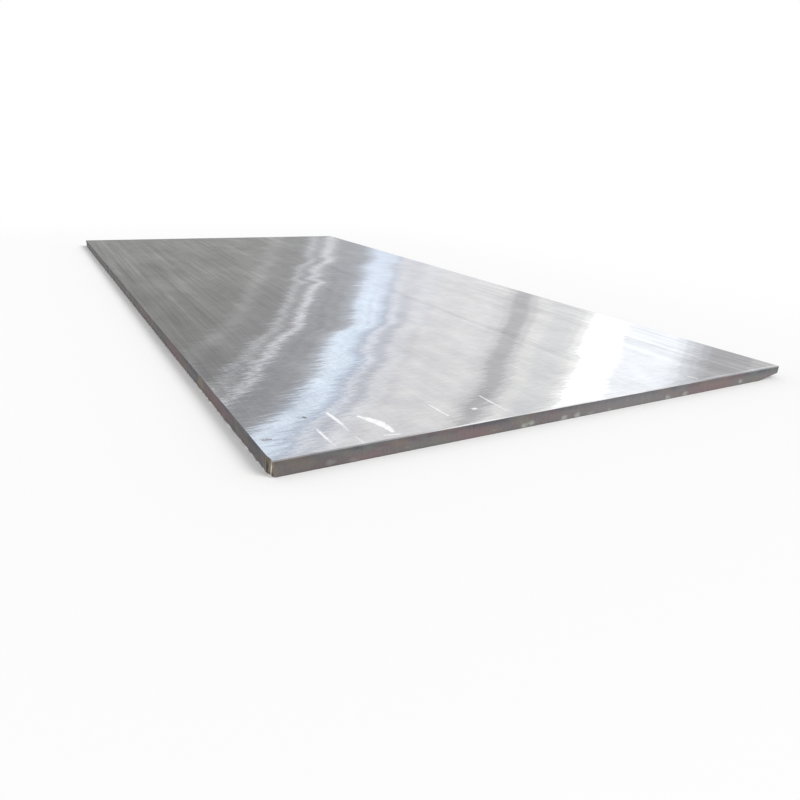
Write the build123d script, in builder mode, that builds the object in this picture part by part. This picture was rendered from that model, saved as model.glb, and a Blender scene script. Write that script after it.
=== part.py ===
"""A heavy steel plate: one hot-rolled piece, ground on its upper face and flame cut to size on all four sides.

The plate lies flat. X runs across its width, Y along its length, which is the rolling direction,
and Z up through its thickness. The origin is at the middle of the underside.
"""

import os

from build123d import *

# Plate size, in millimetres
plate_width = 2000.0
plate_length = 4200.0
plate_thickness = 45.0

# The torch melts the upper arris round. The lower arris is scraped clean of slag.
upper_arris_radius = 2.0
lower_arris_chamfer = 1.0

# Three corners are left as the torch turned them. The near left one was run off early and is cut aslant.
corner_radius = 4.0
slant_along_length = 38.0
slant_along_width = 4.5

# The near right corner is broken away underneath, aslant to all three of its faces.
break_along_width = 115.0
break_along_length = 70.0
break_height = 19.0

# Half-round notches in the left side, where the torch went out and was lit again
notch_radius = 9.0
notch_depth = 4.0
notch_mouth_radius = 3.0
notch_distances_from_near_end = (680.0, 2967.0)

# Places that follow from the sizes
left_side = -plate_width / 2
right_side = plate_width / 2
near_end = -plate_length / 2
notch_axis_x = left_side + notch_depth - notch_radius
notch_places = [(notch_axis_x, near_end + distance) for distance in notch_distances_from_near_end]
break_start = (right_side - break_along_width, near_end, 0)
break_normal = (-1 / break_along_width, 1 / break_along_length, 1 / break_height)

# The plate, drawn as its cut outline and raised to its thickness
with BuildPart() as steel_plate:
    with BuildSketch() as outline:
        Rectangle(plate_width, plate_length)

        # Cut corners
        near_corners = outline.vertices().group_by(Axis.Y)[0]
        far_corners = outline.vertices().group_by(Axis.Y)[-1]
        near_left_corner = near_corners.sort_by(Axis.X)[0]
        near_right_corner = near_corners.sort_by(Axis.X)[-1]
        left_edge = outline.edges().sort_by(Axis.X)[0]
        chamfer(near_left_corner, slant_along_length, slant_along_width, reference=left_edge)
        fillet([near_right_corner, *far_corners], corner_radius)

        # Torch notches
        with Locations(*notch_places):
            Circle(notch_radius, mode=Mode.SUBTRACT)
        fillet(outline.vertices(Select.LAST), notch_mouth_radius)
    extrude(amount=plate_thickness)

    # Arrises
    fillet(steel_plate.faces().sort_by(Axis.Z)[-1].edges(), upper_arris_radius)
    chamfer(steel_plate.faces().sort_by(Axis.Z)[0].edges(), lower_arris_chamfer)

    # Broken corner
    split(bisect_by=Plane(origin=break_start, z_dir=break_normal), keep=Keep.TOP)

steel_plate.part.label = "steel_plate"

os.makedirs("parts", exist_ok=True)
export_step(steel_plate.part, "parts/steel_plate.step")
print("steel_plate volume", round(steel_plate.part.volume), "mm3, box", steel_plate.part.bounding_box().size)
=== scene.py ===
# %% [markdown]
# # A ground steel plate
# The object is one heavy plate of steel, lying flat on a pale studio floor. Its upper face is ground
# bright along the length, its four sides are flame cut, and its underside still has the dark scale of the
# rolling mill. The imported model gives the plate's true size and outline, so it is loaded first and
# everything is measured from it.

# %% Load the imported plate
import math

import bmesh
import bpy
from mathutils import Matrix, Vector, geometry, noise


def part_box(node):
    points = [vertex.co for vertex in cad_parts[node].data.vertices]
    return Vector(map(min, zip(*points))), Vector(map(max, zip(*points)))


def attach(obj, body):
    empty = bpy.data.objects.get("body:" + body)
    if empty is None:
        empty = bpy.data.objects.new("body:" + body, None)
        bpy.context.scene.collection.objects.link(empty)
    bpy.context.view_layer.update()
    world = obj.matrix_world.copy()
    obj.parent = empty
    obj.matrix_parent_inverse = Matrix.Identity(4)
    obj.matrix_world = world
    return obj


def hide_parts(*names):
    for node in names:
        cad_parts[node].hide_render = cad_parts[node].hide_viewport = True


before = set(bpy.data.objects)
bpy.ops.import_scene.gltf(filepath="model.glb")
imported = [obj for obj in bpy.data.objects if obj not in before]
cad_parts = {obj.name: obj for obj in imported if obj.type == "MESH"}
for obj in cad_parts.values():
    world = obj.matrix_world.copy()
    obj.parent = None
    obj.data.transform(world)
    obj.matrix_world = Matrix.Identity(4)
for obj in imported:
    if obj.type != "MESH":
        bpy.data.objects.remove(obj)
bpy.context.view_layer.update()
lowest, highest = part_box("steel_plate")
plate_size = highest - lowest
print("plate", [round(side, 4) for side in plate_size], "m")

# %% [markdown]
# ## Camera
# The view is a hand-held one from near the left front corner, close above the plate. Three turns give it:
# the camera first looks level along the plate's length, then it is swung right, tipped down and rolled a
# little. Turning it this way, and not by aiming it at a point, keeps the small roll that a hand-held
# picture has.

# %% Camera
MM = 0.001
picture_width = 800
focal_length_in_pixels = 653.2276
sensor_width_mm = 36.0
camera_place = Vector((-1441.10, -3436.19, 719.16)) * MM
swing_right = math.radians(30.380)
tip_down = math.radians(20.227)
roll = math.radians(2.587)

camera_data = bpy.data.cameras.new("camera")
camera_data.sensor_width = sensor_width_mm
camera_data.lens = focal_length_in_pixels * sensor_width_mm / picture_width
camera = bpy.data.objects.new("camera", camera_data)
swing = Matrix.Rotation(-swing_right, 4, "Z")
tip = Matrix.Rotation(math.radians(90) - tip_down, 4, "X")
camera.matrix_world = Matrix.Translation(camera_place) @ swing @ tip @ Matrix.Rotation(roll, 4, "Z")
bpy.context.scene.collection.objects.link(camera)
bpy.context.scene.camera = camera
print("lens", round(camera_data.lens, 2), "mm")

# %% [markdown]
# ## One plate, sorted by finish
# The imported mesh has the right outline, with its slant corner, torch notches, broken corner and arrises.
# A copy of it is merged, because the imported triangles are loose, and its coplanar triangles are dissolved
# into whole faces. A real plate has three finishes, and a face's direction tells which one it has: up is
# ground, down is mill scale, and everything between is cut by the torch.

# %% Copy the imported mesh
same_place = 0.01 * MM
same_plane = math.radians(0.3)
plate = bmesh.new()
plate.from_mesh(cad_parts["steel_plate"].data)
bmesh.ops.remove_doubles(plate, verts=plate.verts, dist=same_place)
bmesh.ops.dissolve_limit(plate, angle_limit=same_plane, verts=plate.verts, edges=plate.edges)
plate.normal_update()
print("merged copy", len(plate.faces), "faces")

# %% Sort the faces
GROUND_FACE, CUT_EDGE, MILL_SCALE = range(3)
level_enough = 0.999
for face in plate.faces:
    face.material_index = CUT_EDGE
    if face.normal.z > level_enough:
        face.material_index = GROUND_FACE
    if face.normal.z < -level_enough:
        face.material_index = MILL_SCALE


def faces_of(finish):
    """The faces of one finish, in mesh order."""
    return [face for face in plate.faces if face.material_index == finish]


for name, finish in (("ground", GROUND_FACE), ("cut", CUT_EDGE), ("scale", MILL_SCALE)):
    print(name, len(faces_of(finish)), "faces")

# %% [markdown]
# ## Cut fine enough to shape
# The faces are as long as the plate, and a face can only bend where it has corners. Subdividing would
# follow the odd shapes of the merged faces, so planes slice them first: the upper face into a square
# lattice, the sides into short columns and rows. Slicing keeps the outline exactly as it was. Only faces
# that are longer than the spacing are cut, and each cut is made in what is left above the one before it.
# A plane is slow in a mesh this size, so the planes stand well apart, and one subdivision of the even
# pieces then does the rest at once. The upper face has a narrow border, which takes up the odd corners of
# the arris, so that the lattice inside it is square.


# %% Slice helpers
def evenly(start, end, spacing):
    """Places from start to end, without either, about spacing apart."""
    steps = round((end - start) / spacing)
    return [start + (end - start) * step / steps for step in range(1, steps)]


def reach(face, axis):
    """How far a face goes along one axis."""
    places = [corner.co[axis] for corner in face.verts]
    return max(places) - min(places)


def slice_faces(finish, axis, spacing, border=0.0):
    """Cuts the long faces of one finish by planes across one axis, from the lowest plane up."""
    across = Vector((0, 0, 0))
    across[axis] = 1
    first, last = lowest[axis] + border, highest[axis] - border
    planes = evenly(first, last, spacing)
    if border:
        planes = [first, *planes, last]
    longer = 1.2 * spacing
    faces = [face for face in faces_of(finish) if reach(face, axis) > longer]
    for place in planes:
        edges = dict.fromkeys(edge for face in faces for edge in face.edges)
        corners = dict.fromkeys(corner for face in faces for corner in face.verts)
        cut = bmesh.ops.bisect_plane(
            plate,
            geom=[*faces, *edges, *corners],
            dist=same_place,
            plane_co=across * place,
            plane_no=across,
        )
        pieces = [item for item in cut["geom"] if isinstance(item, bmesh.types.BMFace)]
        just_above = place + 2 * same_place
        faces = [face for face in pieces if max(corner.co[axis] for corner in face.verts) > just_above]


# %% Slice the plate
X, Y, Z = range(3)
column = 24 * MM
row = 6 * MM
scale_cell = 100 * MM
ground_cell = 40 * MM
ground_border = 8 * MM
for finish, axis, spacing, border in (
    (CUT_EDGE, X, column, 0),
    (CUT_EDGE, Y, column, 0),
    (CUT_EDGE, Z, row, 0),
    (MILL_SCALE, Y, scale_cell, 0),
    (MILL_SCALE, X, scale_cell, 0),
    (GROUND_FACE, Y, ground_cell, ground_border),
    (GROUND_FACE, X, ground_cell, ground_border),
):
    slice_faces(finish, axis, spacing, border)
print("sliced into", len(plate.faces), "faces")

# %% Subdivide the pieces
level_within = 0.5 * MM
most_of_a_column = 0.6 * column
column_cuts = 3
lattice_cuts = 1
level_edges = {}
for face in faces_of(CUT_EDGE):
    for edge in face.edges:
        step = edge.verts[1].co - edge.verts[0].co
        if abs(step.z) < level_within and step.length > most_of_a_column:
            level_edges[edge] = True
bmesh.ops.subdivide_edges(plate, edges=list(level_edges), cuts=column_cuts, use_grid_fill=True)
ground_edges = dict.fromkeys(edge for face in faces_of(GROUND_FACE) for edge in face.edges)
lattice = [edge for edge in ground_edges if edge.calc_length() > column]
bmesh.ops.subdivide_edges(plate, edges=lattice, cuts=lattice_cuts, use_grid_fill=True)
print("subdivided into", len(plate.faces), "faces")

# %% [markdown]
# ## Scores in the ground face
# Lifting hooks and a dragged plate have scored the near end. Each score is a straight stroke that widens
# and narrows, and the big gouge is several strokes end to end. A groove that is painted on stays flat in
# raking light, so the strokes are pressed into the mesh. The lattice is too coarse for them, so the cells
# under a stroke are subdivided.

# %% List the strokes
BRIGHT = 1.0
strokes = (
    # from, to, width at each end, depth, all in mm, and shine: fresh metal with a painted highlight above
    # 0, a dull pit below
    ((-757, -1872), (-754, -1925), 8, 10, 0.7, BRIGHT),
    ((-754, -1925), (-753, -1955), 10, 9, 0.6, 0.75),
    ((-753, -1955), (-754, -1982), 9, 8, 0.5, 0.5),
    ((-754, -1982), (-756, -2010), 8, 5, 0.4, 0.3),
    ((-756, -2050), (-754, -2090), 6, 6, 0.3, 0.3),
    ((-828, -1966), (-828, -1988), 5, 7, 0.4, 0.4),
    ((-828, -1988), (-828, -2032), 7, 8, 0.5, 0.7),
    ((-828, -2032), (-827, -2058), 8, 6, 0.4, 0.45),
    ((-827, -2058), (-826, -2086), 6, 4, 0.3, 0.3),
    ((-689, -1926), (-670, -1962), 7, 20, 1.1, BRIGHT),
    ((-670, -1962), (-656, -1998), 21, 26, 1.4, BRIGHT),
    ((-656, -1998), (-652, -2036), 26, 18, 1.3, BRIGHT),
    ((-652, -2036), (-653, -2062), 18, 9, 0.7, BRIGHT),
    ((-684, -2072), (-646, -2080), 6, 9, 0.4, 0.6),
    ((-457, -1925), (-453, -2024), 4, 5, 0.5, 0.8),
    ((-270, -1923), (-272, -2010), 5, 5, 0.4, 0.9),
    ((-272, -2010), (-272, -2063), 4, 4, 0.3, 0.5),
    ((542, -2044), (552, -2076), 5, 5, 0.4, BRIGHT),
    ((-355, -2009), (-347, -2009), 8, 8, 0.3, BRIGHT),
    ((160, -140), (197, -150), 8, 8, 0.3, BRIGHT),
    ((-829, -1873), (-825, -1879), 8, 7, 0.6, -0.8),
    ((-978, -1974), (-955, -1979), 4, 3, 0.4, -0.7),
)
print(len(strokes), "strokes")


# %% Subdivide under the strokes
def clamp(value):
    """Keeps a value between 0 and 1."""
    return min(max(value, 0), 1)


def closeness(stroke, place):
    """How deep in a stroke a place lies, 1 on its middle line and 0 on its rim, and the gap to the rim."""
    start, end = Vector(stroke[0]) * MM, Vector(stroke[1]) * MM
    first_width, last_width = stroke[2:4]
    share = clamp(geometry.intersect_point_line(place.xy, start, end)[1])
    half_width = (first_width + (last_width - first_width) * share) * MM / 2
    gap = (place.xy - start.lerp(end, share)).length - half_width
    return -gap / half_width, gap


room = 12 * MM
score_cuts = 7
touched = [
    face
    for face in faces_of(GROUND_FACE)
    if len(face.verts) == 4
    and any(closeness(stroke, face.calc_center_median())[1] < room for stroke in strokes)
]
rims = dict.fromkeys(edge for face in touched for edge in face.edges)
bmesh.ops.subdivide_edges(plate, edges=list(rims), cuts=score_cuts, use_grid_fill=True)
print(len(touched), "cells under scores, now", len(plate.faces), "faces")

# %% [markdown]
# A groove has steep walls and a flat bottom, and the metal that it pushes aside stands up in a lip along
# it. How much fresh metal, with its painted highlight, shows is stored on the corners as a score, and noise
# makes its rim ragged.


# %% Press the scores
def uneven(x, y, z, waves):
    """Noise at a place, with its own number of waves per metre along x, y and z."""
    return noise.noise(Vector((x * waves[0], y * waves[1], z * waves[2])))


score = plate.verts.layers.float.new("score")
wall_steepness = 1.6
lip_width = 5 * MM
lip_height = 0.25
ragged_waves = (95, 60, 1)
ragged_plane = 4
ragged_reach = 0.4
shine_contrast = 1.8
shine_past_rim = 0.25
small_face = (10 * MM) ** 2
small_faces = [face for face in faces_of(GROUND_FACE) if face.calc_area() < small_face]
for corner in dict.fromkeys(corner for face in small_faces for corner in face.verts):
    place = corner.co.copy()
    for stroke in strokes:
        inside, gap = closeness(stroke, place)
        depth, shine = stroke[4] * MM, stroke[5]
        ragged = ragged_reach * uneven(place.x, place.y, ragged_plane, ragged_waves)
        if inside > 0:
            corner.co.z = min(corner.co.z, highest.z - depth * min(1, wall_steepness * inside))
        elif gap < lip_width:
            corner.co.z = max(corner.co.z, highest.z + lip_height * depth * (1 - gap / lip_width))
        shown = clamp(shine_contrast * (inside + ragged + shine_past_rim)) * shine
        if abs(shown) > abs(corner[score]):
            corner[score] = shown
print("deepest score", round((highest.z - min(c.co.z for c in plate.verts if c[score])) / MM, 2), "mm")

# %% [markdown]
# ## Torch marks and dross
# The torch leaves its own marks: it wanders, its jet drags up-and-down ripples into the side and hollows
# it a little, and slag freezes in beads low on the side. All of these push the side's corners in or out,
# level with the floor. Small beads come from noise, and the larger ones have places of their own. Each
# corner's share of the plate's height is stored before anything moves, so that the finishes can follow
# the arrises afterwards.

# %% Store the height and the way out
rise = plate.verts.layers.float.new("rise")
dross = plate.verts.layers.float.new("dross")
for corner in plate.verts:
    corner[rise] = (corner.co.z - lowest.z) / plate_size.z
plate.normal_update()
sideways = {}
for face in faces_of(CUT_EDGE):
    for corner in face.verts:
        sideways[corner] = Vector((corner.normal.x, corner.normal.y, 0)).normalized()
print(len(sideways), "corners on the cut sides")

# %% Place the larger beads
# place along the side and height above the floor, in mm
near_beads = ((-846, 12), (-236, 8), (-207, 11), (-81, 8), (-29, 8), (382, 8), (469, 9), (772, 14))
left_beads = ((-2052, 8), (-1990, 5), (-1835, 6), (-1690, 5), (-1228, 7), (-735, 5), (-60, 6))
near_side_y = -2100
left_side_x = -1000
beads = [Vector((x, near_side_y, z)) * MM for x, z in near_beads]
beads += [Vector((left_side_x, y, z)) * MM for y, z in left_beads]
print(len(beads), "larger beads")

# %% Push the cut sides
torch_wander = 0.5 * MM
wander_waves = (9, 9, 20)
drag_depth = 0.4 * MM
drag_waves = (70, 70, 9)
hollow_depth = 0.5 * MM
bead_reach = 1.0 * MM
bead_top = 16 * MM
bead_size = 9 * MM
bead_stretch = 1.7
bead_fullness = 1.3
bead_grain = 0.6
bead_grain_waves = (110, 110, 110)
small_bead_waves = (24, 24, 30)
small_bead_level = 0.42
small_bead_gain = 3
for corner, outward in sideways.items():
    x, y, z = corner.co
    push = torch_wander * uneven(x, y, z, wander_waves)
    push += drag_depth * uneven(x, y, z, drag_waves)
    push -= hollow_depth * math.sin(math.pi * clamp(corner[rise]))
    bead = 0
    if z < lowest.z + bead_top:
        bead = small_bead_gain * (uneven(x, y, z, small_bead_waves) - small_bead_level)
    grain = bead_grain * uneven(x, y, z, bead_grain_waves)
    for place in beads:
        off = corner.co - place
        gap = Vector((off.x / bead_stretch, off.y / bead_stretch, off.z)).length
        bead = max(bead, bead_fullness - gap / bead_size + grain)
    bead = clamp(bead)
    corner[dross] = bead
    corner.co += outward * (push + bead_reach * bead)
print(sum(corner[dross] > 0 for corner in sideways), "corners in beads")

# %% [markdown]
# ## Waves and dents
# Plate comes from the mill with long low waves, a millimetre high and half a metre long, and with a few
# dents and humps of its own, up to 2 mm. They are too low to see as shapes, but they bend every
# reflection in the ground face, so they are in the mesh. The lift grows with the height, so that the
# underside stays flat on the floor.

# %% Bend the upper face
wave_height = 1.0 * MM
long_waves = (0.7, 2.2, 1)
long_plane = 0.3
short_waves = (1.5, 5.5, 1)
short_plane = 7.1
short_share = 0.35
dents = (
    # middle, half width and half length, height above the face, all in mm
    (-20, 75, 110, 110, -1.7),
    (400, 595, 350, 170, 1.5),
    (130, 560, 100, 260, 1.5),
    (720, 640, 130, 230, 1.4),
    (-250, -1040, 300, 150, 2.0),
    (-430, -1390, 200, 110, -1.0),
    (-850, -1410, 130, 100, -0.5),
    (-620, -1600, 150, 100, 0.5),
    (340, -1670, 110, 80, -0.6),
    (-700, -1810, 150, 130, 0.7),
    (-950, -2010, 150, 130, -0.7),
    (350, -2130, 1000, 90, 0.5),
)
for corner in plate.verts:
    x, y = corner.co.xy
    wave = uneven(x, y, long_plane, long_waves) + short_share * uneven(x, y, short_plane, short_waves)
    lift = wave_height * wave
    for middle_x, middle_y, half_width, half_length, height in dents:
        off = Vector(((x / MM - middle_x) / half_width, (y / MM - middle_y) / half_length))
        lift += height * MM * math.exp(-off.length_squared)
    corner.co.z += lift * max(corner[rise], 0) ** 2
print("highest", round(max(c.co.z for c in plate.verts) / MM, 2), "mm")

# %% [markdown]
# Faces are smooth within one finish and sharp where two finishes meet. A flat UV map, with one unit to
# the metre across and along, tells the ground face later which way the grinding runs.

# %% Finish the mesh
for edge in plate.edges:
    finishes = {face.material_index for face in edge.link_faces}
    edge.smooth = len(finishes) == 1
for face in plate.faces:
    face.smooth = True

across_and_along = plate.loops.layers.uv.new("across_and_along")
for face in plate.faces:
    for loop in face.loops:
        loop[across_and_along].uv = loop.vert.co.xy

plate_mesh = bpy.data.meshes.new("ground_plate")
plate.to_mesh(plate_mesh)
plate.free()
ground_plate = bpy.data.objects.new("ground_plate", plate_mesh)
bpy.context.scene.collection.objects.link(ground_plate)
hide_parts("steel_plate")
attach(ground_plate, "root")
plate_mesh.calc_loop_triangles()
print("ground_plate", len(plate_mesh.loop_triangles), "triangles")

# %% [markdown]
# ## Helpers for materials
# Every finish is made of the same few moves: stretched noise, a range that is spread or narrowed, and
# colours that are mixed by it. Each move is one short helper, so that a material reads like a list of
# what is on the steel.


# %% Node helpers
def add_node(tree, kind, inputs=None, **settings):
    """Adds one node. An input is a value, or another node's output, by the socket's name or number."""
    made = tree.nodes.new(kind)
    for name, value in settings.items():
        setattr(made, name, value)
    for name, value in (inputs or {}).items():
        if isinstance(value, bpy.types.NodeSocket):
            tree.links.new(value, made.inputs[name])
        else:
            made.inputs[name].default_value = value
    return made


def new_material(name):
    """An empty node material, and the object coordinates that its patterns read."""
    material = bpy.data.materials.new(name)
    material.use_nodes = True
    material.node_tree.nodes.clear()
    places = add_node(material.node_tree, "ShaderNodeTexCoord").outputs["Object"]
    return material, material.node_tree, places


def finish_material(tree, shader):
    """Joins the shader to the material's output."""
    add_node(tree, "ShaderNodeOutputMaterial", {"Surface": shader.outputs[0]})


# %% Pattern helpers
def streaks(tree, places, per_metre, detail=2.0, roughness=0.5, slant=0.0):
    """Noise with its own number of waves per metre along x, y and z, turned by slant degrees about z."""
    turned = add_node(tree, "ShaderNodeVectorRotate", {"Vector": places, "Angle": math.radians(slant)})
    stretched = add_node(tree, "ShaderNodeMapping", {"Vector": turned.outputs[0], "Scale": per_metre})
    waves = {"Vector": stretched.outputs[0], "Scale": 1.0, "Detail": detail, "Roughness": roughness}
    return add_node(tree, "ShaderNodeTexNoise", waves).outputs["Fac"]


def spread(tree, value, low, high, to_low=0.0, to_high=1.0):
    """Stretches a value's range from low..high to to_low..to_high, and clamps it."""
    limits = {"Value": value, "From Min": low, "From Max": high, "To Min": to_low, "To Max": to_high}
    return add_node(tree, "ShaderNodeMapRange", limits).outputs[0]


def tint(tree, amount, first, second, way="MIX"):
    """Mixes two colours."""
    sockets = {0: amount, 6: first, 7: second}
    return add_node(tree, "ShaderNodeMix", sockets, data_type="RGBA", blend_type=way).outputs[2]


def sum_of(tree, first, second, weight=1.0):
    """first + second * weight."""
    sockets = {0: second, 1: weight, 2: first}
    return add_node(tree, "ShaderNodeMath", sockets, operation="MULTIPLY_ADD").outputs[0]


def product(tree, first, second):
    """first * second."""
    return add_node(tree, "ShaderNodeMath", {0: first, 1: second}, operation="MULTIPLY").outputs[0]


def larger(tree, first, second):
    """The larger of two values."""
    return add_node(tree, "ShaderNodeMath", {0: first, 1: second}, operation="MAXIMUM").outputs[0]


def mottle(tree, colour, pattern, low, high, amount=1.0):
    """Multiplies a colour by low..high, as a noise pattern goes."""
    return tint(tree, amount, colour, spread(tree, pattern, 0.3, 0.7, low, high), "MULTIPLY")


def bumped(tree, height):
    """The bent normal of a relief, whose height is in millimetres."""
    return add_node(tree, "ShaderNodeBump", {"Height": height, "Distance": MM, "Strength": 1.0}).outputs[0]


# %% [markdown]
# Some marks belong to one spot of the plate. The next helpers tell where a point is: near a spot, in a
# lane, in a patch, or where a value was stored on the mesh.


# %% Place helpers
def near_to(tree, places, centre, radius):
    """1 near the centre, in mm, falling to 0 at the radius."""
    spot = Vector(centre) * MM
    sockets = {0: places, 1: spot}
    gap = add_node(tree, "ShaderNodeVectorMath", sockets, operation="DISTANCE").outputs["Value"]
    core = 0.3 * radius
    return spread(tree, gap, radius * MM, core * MM)


def stored(tree, name):
    """A value that was stored on the mesh's corners."""
    return add_node(tree, "ShaderNodeAttribute", attribute_name=name).outputs["Fac"]


def place_along(tree, places, axis):
    """The place along one axis, in metres."""
    return add_node(tree, "ShaderNodeSeparateXYZ", {0: places}).outputs[axis]


def in_lane(tree, place, middle, half_width):
    """1 in the middle half of a lane, in mm, falling to 0 at its sides."""
    off = add_node(tree, "ShaderNodeMath", {0: place, 1: middle * MM}, operation="SUBTRACT").outputs[0]
    gap = add_node(tree, "ShaderNodeMath", {0: off}, operation="ABSOLUTE").outputs[0]
    core = 0.5 * half_width
    return spread(tree, gap, half_width * MM, core * MM)


def in_patch(tree, across, along, middle, half_width, middle_along, half_length):
    """1 in the middle of an oblong patch, in mm, falling to 0 at its sides and ends."""
    lane = in_lane(tree, across, middle, half_width)
    return product(tree, lane, in_lane(tree, along, middle_along, half_length))


# %% [markdown]
# ## Ground face
# A belt or stone grinder has gone over the upper face lengthwise, in overlapping passes a few centimetres
# wide. Its fine grooves throw a light into a fan across them, so a reflection is sharp along the length
# and smeared across the width. The Principled shader's anisotropy does that, with its tangent taken from
# the UV map. The tones come first: broad passes, the dark lines between them, hairlines and faint stains.
# Each one is noise that is drawn out along the length, and makes the steel a little darker or paler.

# %% Tones of the ground face
ground, tree, places = new_material("ground_face")
darker_steel = (0.640, 0.636, 0.629, 1)
paler_steel = (0.683, 0.683, 0.688, 1)
passes = streaks(tree, places, (16, 0.35, 0), 2)
lines = streaks(tree, places, (46, 0.5, 0), 3, 0.6, slant=1.0)
hairs = streaks(tree, places, (210, 2.5, 0), 4, 0.7)
stains = streaks(tree, places, (3.2, 1.5, 0), 3)
tone = sum_of(tree, product(tree, passes, 0.25), lines, 0.5)
tone = sum_of(tree, tone, hairs, 0.25)
colour = tint(tree, spread(tree, tone, 0.35, 0.65), darker_steel, paler_steel)
colour = mottle(tree, colour, stains, 0.95, 1.05)
colour = mottle(tree, colour, hairs, 0.965, 1.035)
print("tones of the ground face", len(tree.nodes), "nodes")

# %% [markdown]
# The grinder's chatter and faint clouds shade the whole face. The part that lies left and far was never
# wiped, and a thin film lies on it. The film makes the hairlines stronger, and it has broad bands, smears
# that are lilac where they are dark and greenish where they are pale, and some pale lines.

# %% Clouds and film
cool_cloud = (0.890, 0.895, 0.915, 1)
warm_cloud = (1.110, 1.105, 1.090, 1)
lilac_smear = (0.845, 0.832, 0.855, 1)
green_smear = (1.155, 1.168, 1.145, 1)
left_and_far = (-0.874, 0.486, 0)
sockets = {0: places, 1: left_and_far}
leftward = add_node(tree, "ShaderNodeVectorMath", sockets, operation="DOT_PRODUCT").outputs["Value"]
film = spread(tree, leftward, -0.05, 0.6)
colour = mottle(tree, colour, hairs, 0.91, 1.09, film)
film_bands = streaks(tree, places, (9, 0.6, 0), 2, slant=1.5)
colour = mottle(tree, colour, film_bands, 0.87, 1.13, film)
chatter = streaks(tree, places, (20, 70, 0), 2)
colour = mottle(tree, colour, chatter, 0.955, 1.045)
clouds = spread(tree, streaks(tree, places, (10, 6, 0), 4, 0.6), 0.3, 0.7)
colour = tint(tree, 1.0, colour, tint(tree, clouds, cool_cloud, warm_cloud), "MULTIPLY")
smears = tint(tree, spread(tree, stains, 0.3, 0.7), lilac_smear, green_smear)
colour = tint(tree, film, colour, smears, "MULTIPLY")
film_lines = streaks(tree, places, (38, 0.28, 0), 2, slant=-0.6)
colour = tint(tree, film, colour, spread(tree, film_lines, 0.56, 0.70, 1.0, 1.18), "MULTIPLY")
print("with clouds and film", len(tree.nodes), "nodes")

# %% [markdown]
# The dark lines are strong under the film, and in the lanes where a worn belt ran: along both sides, most
# at the near right, and in two narrow lanes between them. Patches that were rubbed more or less than the
# rest are darker or paler, and the narrowest ones are single long lines. The rim of the near right end
# gets a bright, bluish painted highlight from the same table.

# %% Worn lanes
across = place_along(tree, places, "X")
along = place_along(tree, places, "Y")
worn_lanes = (
    # middle and half width across, middle and half length along, all in mm, and strength
    (-900, 190, 1000, 2400, 1.0),
    (-388, 45, -180, 800, 0.6),
    (288, 40, -560, 1900, 0.45),
    (860, 280, -1000, 1000, 0.5),
    (860, 280, -2100, 800, 0.9),
)
strength_under_film = 0.9
worked = product(tree, film, strength_under_film)
for *patch, strength in worn_lanes:
    lane = in_patch(tree, across, along, *patch)
    worked = larger(tree, worked, product(tree, lane, strength))
colour = tint(tree, worked, colour, spread(tree, tone, 0.35, 0.65, 0.58, 1.34), "MULTIPLY")
print(len(worn_lanes), "worn lanes")

# %% Rubbed patches and a painted highlight
rubbed_patches_and_highlight = (
    # middle and half width across, middle and half length along, all in mm, and the change of colour
    (-960, 260, -1500, 500, (0.84, 0.84, 0.84, 1)),
    (-700, 700, 1500, 1300, (0.925, 0.925, 0.920, 1)),
    # painted highlight along the near right rim of the ground face
    (820, 420, -2096, 13, (1.36, 1.40, 1.47, 1)),
    (312, 9, -700, 1900, (0.95, 0.95, 0.955, 1)),
    (340, 7, -1500, 900, (0.94, 0.94, 0.95, 1)),
    (284, 9, 400, 1700, (0.83, 0.83, 0.84, 1)),
    (306, 6, 800, 1000, (0.86, 0.86, 0.87, 1)),
)
for *patch, change in rubbed_patches_and_highlight:
    colour = tint(tree, in_patch(tree, across, along, *patch), colour, change, "MULTIPLY")
print(len(rubbed_patches_and_highlight), "rubbed patches")

# %% [markdown]
# The grinder also bounces. Its chatter is a row of shallow cross ridges, 15 mm apart and a hand wide, and
# its slower ripples are about 50 mm apart. They tilt the face by less than half a degree, which is enough
# to fray the edges of every reflection into short spikes across the plate. In one patch on the right the
# grinder ran calmly, and there the edges are soft. This relief is finer than the mesh, so it is bump,
# with its heights in millimetres.

# %% Relief of the ground face
ripple_height = 0.24
hair_height = 0.006
# middle and half width across, middle and half length along, in mm
calm_patch = (850, 550, -1050, 1000)
ripples = streaks(tree, places, (5, 18, 0), 1)
chatter_height = spread(tree, along, -1.0, -1.7, 0.10, 0.14)
relief = sum_of(tree, product(tree, chatter, chatter_height), ripples, ripple_height)
calm = in_patch(tree, across, along, *calm_patch)
relief = product(tree, relief, spread(tree, calm, 0, 1, 1.0, 0.35))
relief = sum_of(tree, relief, hairs, hair_height)
print("with relief", len(tree.nodes), "nodes")
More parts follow.
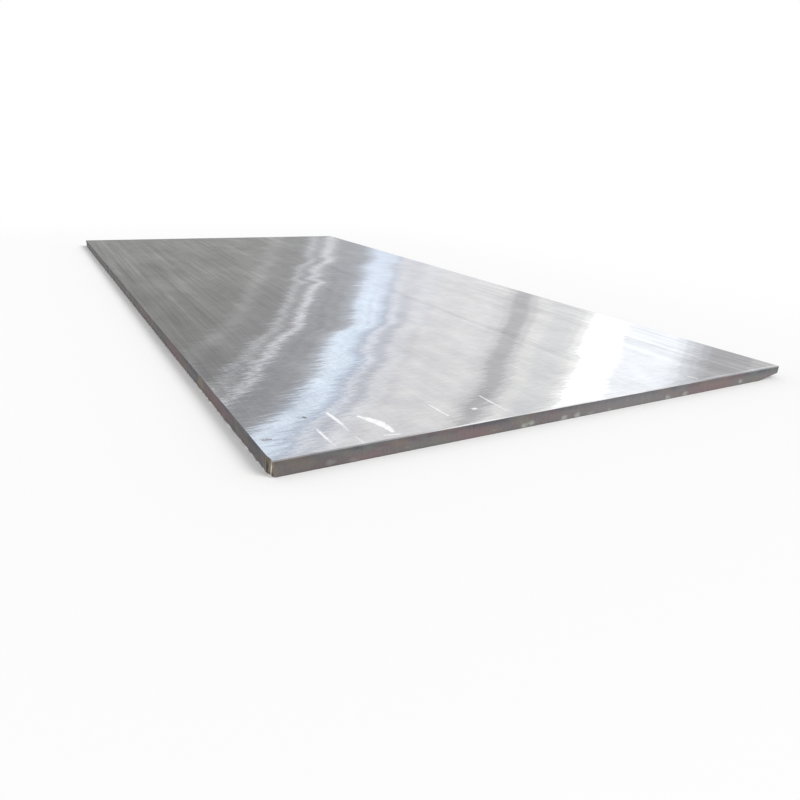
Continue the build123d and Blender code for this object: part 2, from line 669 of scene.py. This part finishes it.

# %% [markdown]
# The score that is stored on the mesh shows where fresh metal lies open: it is rougher there, because a
# hook tears the steel and doesn't polish it, and its near-white colour is partly a painted highlight. A
# negative score is a dull pit. The face is more polished at the near end, and a little dust at the far end
# makes it less of a mirror.

# %% Steel of the ground face
fresh_metal_highlight = (1.0, 1.0, 1.0, 1)
dull_pit = (0.27, 0.27, 0.27, 1)
opened = stored(tree, "score")
# Painted highlight: the scores' fresh metal is painted near-white.
colour = tint(tree, spread(tree, opened, 0.0, 0.8), colour, fresh_metal_highlight)
colour = tint(tree, spread(tree, opened, 0.0, -0.6), colour, dull_pit)
polish = spread(tree, lines, 0.3, 0.7, 0.14, 0.11)
polish = sum_of(tree, polish, spread(tree, along, -1.6, 1.6, -0.05, 0.05))
polish = sum_of(tree, polish, spread(tree, opened, 0.0, 0.6), 0.05)
polish = sum_of(tree, polish, calm, 0.04)
dusted = spread(tree, along, -0.4, 1.8, 1.0, 0.87)
torn_open = spread(tree, opened, 0.0, 0.8, 1.0, 0.2)
grinding = add_node(tree, "ShaderNodeTangent", direction_type="UV_MAP", uv_map="across_and_along")
steel = add_node(
    tree,
    "ShaderNodeBsdfPrincipled",
    {
        "Base Color": colour,
        "Metallic": product(tree, dusted, torn_open),
        "Roughness": polish,
        "Anisotropic": 1.0,
        "Normal": bumped(tree, relief),
        "Tangent": grinding.outputs[0],
    },
)
finish_material(tree, steel)
print("ground face", len(tree.nodes), "nodes")

# %% [markdown]
# ## Flame-cut sides
# The torch leaves a dull skin of oxide: greyer and darker just under the upper arris, browner towards the
# floor, with up-and-down drag lines and thin rust. A ramp over the height gives the bands, and some noise
# added to the height keeps them ragged. The sides are painted paler towards the right, as painted light.
# Slag beads along the lower arris are pale, and paler to the right. Two arrises are rubbed bright, partly
# bare metal and partly a painted highlight: the near upper one, most in its middle, and the lower one on
# the left, with painted glints. A pale patch in the middle of the near side is a painted highlight too.
# The slanted corner is torn: tan on its ridges, with painted shade in its hollows and painted glints.

# %% Bands of the cut sides
cut, tree, places = new_material("flame_cut_edge")
height = stored(tree, "rise")
wander = streaks(tree, places, (14, 14, 14), 4)
ragged_height = sum_of(tree, height, sum_of(tree, wander, -0.5), 0.22)
ramp = add_node(tree, "ShaderNodeValToRGB", {0: ragged_height})
bands = (
    # share of the height, colour
    (0.00, (0.140, 0.129, 0.133)),
    (0.16, (0.156, 0.139, 0.142)),
    (0.50, (0.144, 0.132, 0.138)),
    (0.66, (0.116, 0.112, 0.121)),
    (0.82, (0.084, 0.085, 0.094)),
    (0.95, (0.094, 0.096, 0.112)),
)
while len(ramp.color_ramp.elements) < len(bands):
    ramp.color_ramp.elements.new(0.5)
for stop, (place, shade) in zip(ramp.color_ramp.elements, bands):
    stop.position = place
    stop.color = (*shade, 1)
print(len(bands), "bands on the cut sides")

# %% Rust on the cut sides
rust_brown = (0.220, 0.137, 0.140, 1)
tan_oxide = (0.210, 0.185, 0.135, 1)
grey_green_oxide = (0.165, 0.190, 0.180, 1)
drag = streaks(tree, places, (150, 150, 7), 3, 0.6)
grain = streaks(tree, places, (260, 260, 180), 3)
colour = tint(tree, 1.0, ramp.outputs[0], spread(tree, drag, 0.25, 0.75, 0.88, 1.12), "MULTIPLY")
colour = tint(tree, 1.0, colour, spread(tree, grain, 0.25, 0.75, 0.8, 1.2), "MULTIPLY")
across = place_along(tree, places, "X")
# Painted light: the sides are painted paler towards the right, where more light falls.
colour = tint(tree, 1.0, colour, spread(tree, across, -0.85, 0.2, 0.98, 1.2), "MULTIPLY")
rust = spread(tree, streaks(tree, places, (5, 3, 14), 4, 0.6), 0.48, 0.66, 0, 0.5)
colour = tint(tree, rust, colour, rust_brown)
tan = spread(tree, streaks(tree, places, (11, 8, 20), 3), 0.50, 0.66, 0, 0.45)
colour = tint(tree, tan, colour, tan_oxide)
bloom = spread(tree, streaks(tree, places, (8, 6, 26), 3), 0.54, 0.70, 0, 0.55)
colour = tint(tree, bloom, colour, grey_green_oxide)
print("cut sides with rust", len(tree.nodes), "nodes")

# %% Patches and slag on the cut sides
pale_slag = (0.36, 0.38, 0.35, 1)
patches = (
    # middle and reach in mm, strength, colour
    ((-1000, -1595, 12), 150, 0.55, (0.200, 0.125, 0.132, 1)),
    ((-1000, -1040, 16), 170, 0.55, (0.200, 0.125, 0.132, 1)),
    ((-1000, -1420, 22), 34, 0.75, (0.310, 0.245, 0.180, 1)),
    ((-900, -2100, 18), 140, 0.35, (0.095, 0.090, 0.095, 1)),
    # Painted highlight: a pale patch in the middle of the near side, under the arris.
    ((170, -2100, 38), 330, 0.35, (0.230, 0.225, 0.230, 1)),
)
for centre, radius, strength, shade in patches:
    colour = tint(tree, product(tree, near_to(tree, places, centre, radius), strength), colour, shade)
slag = spread(tree, stored(tree, "dross"), 0.2, 0.9, 0, 0.75)
slag = product(tree, slag, spread(tree, across, -0.75, -0.3, 0.35, 1.0))
colour = tint(tree, slag, colour, pale_slag)
print(len(patches), "patches on the cut sides")

# %% Torn corner, with painted shade and glints
# The torn corner is tan on its ridges, with painted shade in its hollows and painted glints.
hollow_shade = (0.045, 0.042, 0.032, 1)
torn_ridge = (0.29, 0.235, 0.170, 1)
painted_glint = (0.75, 0.73, 0.68, 1)
slant_middle = (-999, -2086, 20)
slant_reach = 52
torn = streaks(tree, places, (40, 110, 16), 3, 0.6)
torn_colour_and_light = tint(tree, spread(tree, torn, 0.38, 0.58), hollow_shade, torn_ridge)
torn_colour_and_light = tint(tree, spread(tree, torn, 0.60, 0.66), torn_colour_and_light, painted_glint)
slant_corner = near_to(tree, places, slant_middle, slant_reach)
torn_corner = product(tree, slant_corner, spread(tree, across, -0.991, -0.994))
colour = tint(tree, torn_corner, colour, torn_colour_and_light)
print("with the torn corner", len(tree.nodes), "nodes")

# %% Rubbed arrises, partly a painted highlight
# The rubbed arrises are partly bare metal and partly a painted highlight, with painted glints on the lower
# left arris.
rubbed_metal_and_highlight = (0.93, 0.93, 0.94, 1)
along = place_along(tree, places, "Y")
near_side = spread(tree, along, -2.085, -2.095)
left_side = spread(tree, across, -0.988, -0.996)
near_middle = spread(tree, in_lane(tree, across, -50, 660), 0, 1, 0.28, 1.0)
patchy = spread(tree, streaks(tree, places, (5, 2, 0), 3), 0.35, 0.6, 0.6, 1.0)
wear_and_highlight = product(tree, spread(tree, height, 0.915, 0.95), product(tree, near_side, near_middle))
glints = spread(tree, streaks(tree, places, (40, 26, 0), 3), 0.46, 0.56)
low_wear_and_glint = product(tree, spread(tree, height, 0.09, 0.05), product(tree, left_side, glints))
wear_and_highlight = sum_of(tree, product(tree, wear_and_highlight, patchy), product(tree, low_wear_and_glint, spread(tree, along, -0.9, -1.5)))
colour = tint(tree, wear_and_highlight, colour, rubbed_metal_and_highlight)
print("with rubbed arrises", len(tree.nodes), "nodes")

# %% Oxide of the cut sides
drag_height = 0.5
grain_height = 0.25
relief = sum_of(tree, product(tree, drag, drag_height), grain, grain_height)
oxide = add_node(
    tree,
    "ShaderNodeBsdfPrincipled",
    {
        "Base Color": colour,
        "Metallic": spread(tree, wear_and_highlight, 0, 1, 0.1, 0.3),
        "Roughness": sum_of(tree, spread(tree, drag, 0.3, 0.7, 0.68, 0.52), wear_and_highlight, -0.2),
        "Specular IOR Level": 0.3,
        "Normal": bumped(tree, relief),
    },
)
finish_material(tree, oxide)
print("cut sides", len(tree.nodes), "nodes")

# %% [markdown]
# ## Mill scale
# The underside is as the rolling mill left it: blue-grey scale, dull and slightly pitted, with rust where
# the scale has flaked off. It faces the floor, so it needs no more than blotches at two sizes.

# %% Mill scale
scale, tree, places = new_material("mill_scale")
blue_grey_scale = (0.065, 0.07, 0.08, 1)
worn_scale = (0.13, 0.125, 0.125, 1)
red_rust = (0.20, 0.105, 0.065, 1)
flake_depth = 0.15
blotches = streaks(tree, places, (7, 3, 0), 6, 0.6)
flakes = streaks(tree, places, (24, 16, 0), 5, 0.65)
colour = tint(tree, spread(tree, blotches, 0.35, 0.65), blue_grey_scale, worn_scale)
flaked = spread(tree, flakes, 0.56, 0.64)
colour = tint(tree, product(tree, flaked, 0.8), colour, red_rust)
skin = add_node(
    tree,
    "ShaderNodeBsdfPrincipled",
    {
        "Base Color": colour,
        "Metallic": 0.3,
        "Roughness": spread(tree, flaked, 0, 1, 0.42, 0.75),
        "Normal": bumped(tree, product(tree, flaked, -flake_depth)),
    },
)
finish_material(tree, skin)
print("mill scale", len(tree.nodes), "nodes")

# %% Put the finishes on the plate
for material in (ground, cut, scale):
    plate_mesh.materials.append(material)
print("materials", [material.name for material in plate_mesh.materials])

# %% [markdown]
# ## White studio
# The world is plain white. Camera, glossy and transmission rays see it at full strength, so the
# background is white and the steel mirrors it. The rest of the light is a little lower, to leave room for
# the key lamp.


# %% World
def seen_directly(tree):
    """1 where a thing is seen, also in a mirror or through glass, and 0 where it only gives light."""
    path = add_node(tree, "ShaderNodeLightPath")
    seen = path.outputs["Is Camera Ray"]
    for way in ("Is Glossy Ray", "Is Transmission Ray"):
        seen = larger(tree, seen, path.outputs[way])
    return seen


world = bpy.data.worlds.new("white_studio")
bpy.context.scene.world = world
world.use_nodes = True
world.cycles.sampling_method = "NONE"
tree = world.node_tree
tree.nodes.clear()
plain_white = (1, 1, 1, 1)
soft_strength = 0.70
soft_light = add_node(tree, "ShaderNodeBackground", {"Color": plain_white, "Strength": soft_strength})
white = add_node(tree, "ShaderNodeBackground", {"Color": plain_white, "Strength": 1.0})
sockets = {0: seen_directly(tree), 1: soft_light.outputs[0], 2: white.outputs[0]}
both = add_node(tree, "ShaderNodeMixShader", sockets)
add_node(tree, "ShaderNodeOutputWorld", {"Surface": both.outputs[0]})
print("world", world.name)

# %% [markdown]
# ## Floor
# The floor is pale paint and takes the plate's shadow. Away from the plate it fades into the white of the
# world, so that no horizon shows. The fade follows the distance from the plate's outline, which is worked
# out in one quarter of the floor, because the plate lies in the middle of it.

# %% Floor
floor_half = 60.0
floor_rise = 0.3 * MM
floor_bm = bmesh.new()
bmesh.ops.create_grid(floor_bm, x_segments=1, y_segments=1, size=floor_half)
bmesh.ops.translate(floor_bm, vec=(0, 0, floor_rise), verts=floor_bm.verts)
floor_mesh = bpy.data.meshes.new("floor")
floor_bm.to_mesh(floor_mesh)
floor_bm.free()
floor = bpy.data.objects.new("floor", floor_mesh)
bpy.context.scene.collection.objects.link(floor)
print("floor", 2 * floor_half, "m wide")

# %% Floor paint
fade_from = 0.15
fade_to = 1.8
pale_paint = (0.95, 0.95, 0.95, 1)
floor_paint, tree, places = new_material("floor_paint")
paint = add_node(tree, "ShaderNodeBsdfDiffuse", {"Color": pale_paint})
beyond = add_node(tree, "ShaderNodeEmission", {"Color": plain_white, "Strength": 1.0})
half_plate = (plate_size.x / 2, plate_size.y / 2, 0)
one_quarter = add_node(tree, "ShaderNodeVectorMath", {0: places}, operation="ABSOLUTE").outputs[0]
sockets = {0: one_quarter, 1: half_plate}
outside = add_node(tree, "ShaderNodeVectorMath", sockets, operation="SUBTRACT").outputs[0]
outside = add_node(tree, "ShaderNodeVectorMath", {0: outside, 1: (0, 0, 0)}, operation="MAXIMUM").outputs[0]
away = add_node(tree, "ShaderNodeVectorMath", {0: outside}, operation="LENGTH").outputs["Value"]
faded = product(tree, spread(tree, away, fade_from, fade_to), seen_directly(tree))
sockets = {0: faded, 1: paint.outputs[0], 2: beyond.outputs[0]}
paint_and_white = add_node(tree, "ShaderNodeMixShader", sockets)
finish_material(tree, paint_and_white)
floor_paint.cycles.emission_sampling = "NONE"
floor_mesh.materials.append(floor_paint)
print("floor fades to white from", fade_from, "to", fade_to, "m past the plate")

# %% [markdown]
# ## Cards and softboxes
# A ground plate shows only what stands round it, so white all round would leave it blank. A studio puts
# up grey cards and softboxes for that. Because the grooves run lengthwise, what matters most is a card's
# angle from the plate's length, so each one is a strip bent in a half circle over the plate, like a hoop
# of a tunnel. The strip is one edge, spun about the length. Some hoops stop short of the floor on the
# right, and low cards stand in the gap: the far half of the plate mirrors these. The hoops stand at both
# ends, so that the plate looks alike from behind. Only mirrored rays meet them, and they cast no light or
# shadow of their own.

# %% Bend a card
hoop_radius = 2000.0
degrees_a_step = 3.75


def bend_card(name, facing, from_angle, to_angle, shade, from_turn, to_turn):
    """A card between two angles from the plate's length, bent round that line from one turn to another."""
    card = bmesh.new()
    tip_up = Matrix.Rotation(math.radians(from_turn), 3, "Y")
    ends = []
    for angle in (from_angle, to_angle):
        turned = math.radians(angle)
        on_the_floor = Vector((-math.sin(turned), facing * math.cos(turned), 0)) * hoop_radius
        ends.append(card.verts.new(tip_up @ on_the_floor))
    strip = card.edges.new(ends)
    bmesh.ops.spin(
        card,
        geom=[*ends, strip],
        cent=(0, 0, 0),
        axis=(0, 1, 0),
        dvec=(0, 0, 0),
        angle=math.radians(to_turn - from_turn),
        steps=round((to_turn - from_turn) / degrees_a_step),
    )
    mesh = bpy.data.meshes.new(name)
    card.to_mesh(mesh)
    card.free()
    hoop = bpy.data.objects.new(name, mesh)
    bpy.context.scene.collection.objects.link(hoop)
    material, tree, _ = new_material(name)
    glow = add_node(tree, "ShaderNodeEmission", {"Color": (*shade, 1), "Strength": 1.0})
    finish_material(tree, glow)
    material.cycles.emission_sampling = "NONE"
    mesh.materials.append(material)
    hoop.visible_camera = False
    hoop.visible_diffuse = False
    hoop.visible_shadow = False


# %% Hoops that stop short and the low cards under them
low_turn = 157.5
short_hoops = (
    # name, angles from the plate's length, shade
    ("pale_strip_2", 23.05, 23.55, (0.70, 0.71, 0.74)),
    ("grey_card_3", 23.55, 24.35, (0.43, 0.43, 0.45)),
    ("pale_strip_3", 24.35, 24.95, (0.93, 0.94, 0.99)),
    ("grey_card_4", 24.95, 25.5, (0.42, 0.43, 0.45)),
    ("pale_strip_4", 25.5, 25.8, (0.51, 0.52, 0.55)),
    ("grey_card_5", 25.8, 26.4, (0.40, 0.41, 0.43)),
    ("pale_strip_5", 26.4, 26.7, (0.52, 0.53, 0.56)),
    ("grey_card_6", 26.7, 27.5, (0.45, 0.46, 0.48)),
    ("blue_softbox_rim_1", 27.5, 28.25, (0.55, 0.57, 0.61)),
    ("blue_softbox_rim_2", 28.25, 28.6, (0.72, 0.77, 0.86)),
    ("blue_softbox_1", 28.6, 28.9, (1.06, 1.18, 1.34)),
    ("blue_softbox_2", 28.9, 29.2, (0.87, 0.98, 1.13)),
    ("blue_softbox_3", 29.2, 29.5, (1.18, 1.30, 1.46)),
    ("blue_softbox_4", 29.5, 29.9, (0.86, 0.97, 1.12)),
    ("blue_softbox_5", 29.9, 30.2, (1.14, 1.26, 1.42)),
    ("blue_softbox_6", 30.2, 30.8, (0.84, 0.95, 1.10)),
    ("grey_card_7", 30.8, 31.3, (0.62, 0.69, 0.82)),
    ("pale_strip_6", 31.3, 32.0, (0.94, 0.98, 1.07)),
    ("grey_card_8", 32.0, 33.0, (0.72, 0.745, 0.82)),
    ("pale_strip_7", 33.0, 34.2, (0.94, 0.96, 1.00)),
    ("pale_strip_8", 34.2, 34.9, (0.88, 0.88, 0.91)),
)
low_cards = (
    # name, angles from the plate's length, shade
    ("low_pale_strip_1", 23.05, 23.65, (0.74, 0.75, 0.79)),
    ("low_grey_card_1", 23.65, 24.4, (0.48, 0.48, 0.50)),
    ("low_pale_strip_2", 24.4, 25.15, (0.92, 0.93, 0.98)),
    ("low_grey_card_2", 25.15, 25.6, (0.57, 0.58, 0.60)),
    ("low_grey_card_3", 25.6, 26.8, (0.49, 0.50, 0.53)),
    ("low_grey_card_4", 26.8, 27.9, (0.50, 0.515, 0.55)),
    ("low_blue_softbox_rim_1", 27.9, 28.4, (0.64, 0.68, 0.77)),
    ("low_blue_softbox_rim_2", 28.4, 28.8, (0.79, 0.86, 0.99)),
    ("low_blue_softbox_1", 28.8, 29.6, (0.89, 1.00, 1.18)),
    ("low_blue_softbox_2", 29.6, 30.6, (0.87, 0.95, 1.09)),
    ("low_grey_card_5", 30.6, 31.0, (0.74, 0.79, 0.89)),
    ("low_pale_card_1", 31.0, 33.4, (0.88, 0.89, 0.94)),
    ("low_pale_card_2", 33.4, 34.9, (0.935, 0.945, 0.985)),
)
print(len(short_hoops), "short hoops and", len(low_cards), "low cards")

# %% Whole hoops
whole_hoops = (
    # name, angles from the plate's length, shade
    ("grey_card_end", 0.05, 15.0, (0.325, 0.325, 0.318)),
    ("grey_card_1", 15.0, 19.8, (0.345, 0.345, 0.34)),
    ("pale_strip_1", 19.8, 20.8, (0.45, 0.45, 0.45)),
    ("grey_card_2", 20.8, 23.05, (0.37, 0.37, 0.375)),
    ("pale_card_1", 34.9, 36.2, (0.955, 0.955, 0.975)),
    ("pale_card_2", 36.2, 37.4, (0.935, 0.935, 0.955)),
    ("pale_card_3", 37.4, 38.6, (0.96, 0.96, 0.975)),
    ("pale_card_4", 38.6, 39.8, (0.985, 0.985, 1.0)),
    ("pale_card_5", 39.8, 40.6, (0.94, 0.94, 0.955)),
    ("pale_strip_9", 40.6, 41.2, (0.84, 0.84, 0.86)),
    ("grey_card_9", 41.2, 42.6, (0.65, 0.65, 0.67)),
    ("pale_strip_10", 42.6, 43.3, (0.84, 0.84, 0.86)),
    ("pale_card_6", 44.6, 46.5, (0.925, 0.94, 0.96)),
    ("white_softbox_rim_1", 46.5, 47.2, (0.98, 0.985, 0.99)),
    ("white_softbox_rim_2", 47.2, 47.9, (1.16, 1.16, 1.16)),
    ("white_softbox_1", 47.9, 50.9, (1.6, 1.6, 1.6)),
    ("white_softbox_2", 50.9, 54.9, (1.24, 1.28, 1.34)),
    ("white_softbox_3", 54.9, 55.5, (1.12, 1.16, 1.22)),
    ("pale_strip_11", 55.5, 56.1, (0.92, 0.95, 1.00)),
    ("pale_strip_12", 56.1, 56.7, (0.78, 0.80, 0.85)),
    ("pale_strip_13", 56.7, 57.3, (0.65, 0.66, 0.69)),
    ("grey_card_10", 57.3, 60.2, (0.58, 0.58, 0.60)),
    ("grey_card_11", 60.2, 63.0, (0.70, 0.70, 0.71)),
    ("grey_card_12", 63.0, 66.0, (0.80, 0.80, 0.81)),
    ("grey_card_13", 66.0, 70.5, (0.56, 0.56, 0.57)),
    ("pale_card_7", 70.5, 72.5, (0.86, 0.86, 0.88)),
    ("grey_card_14", 72.5, 77.5, (0.60, 0.60, 0.61)),
    ("grey_card_15", 80.0, 84.5, (0.64, 0.64, 0.65)),
    ("pale_card_8", 84.5, 86.0, (0.88, 0.88, 0.90)),
    ("grey_card_16", 86.0, 89.9, (0.56, 0.56, 0.57)),
)
print(len(whole_hoops), "whole hoops")

# %% Put up the cards at both ends
half_turn = 180
for cards, from_turn, to_turn in (
    (whole_hoops, 0, half_turn),
    (short_hoops, 0, low_turn),
    (low_cards, low_turn, half_turn),
):
    for name, from_angle, to_angle, shade in cards:
        for facing, end in ((1, "far"), (-1, "near")):
            bend_card(f"{name}_{end}", facing, from_angle, to_angle, shade, from_turn, to_turn)
print(2 * (len(whole_hoops) + len(short_hoops) + len(low_cards)), "cards")

# %% [markdown]
# ## Key lamp
# One soft lamp, in front and to the right, gives the near side its light and the floor a soft shadow. An
# area lamp near the plate would light one end of the floor more than the other. A sun lamp lights it
# evenly, and its wide angle makes it as soft as a large softbox.

# %% Key lamp
key_strength = 1.7
key_width = math.radians(28)
key = bpy.data.lights.new("key", "SUN")
key.energy = key_strength
key.angle = key_width
key_object = bpy.data.objects.new("key", key)
key_from = Vector((6.0, -7.5, 7.0))
key_object.rotation_euler = key_from.to_track_quat("Z", "Y").to_euler()
key_object.visible_glossy = False
bpy.context.scene.collection.objects.link(key_object)
bpy.context.scene.view_settings.view_transform = "Standard"
print("key", round(key.energy, 2), "W per square metre")
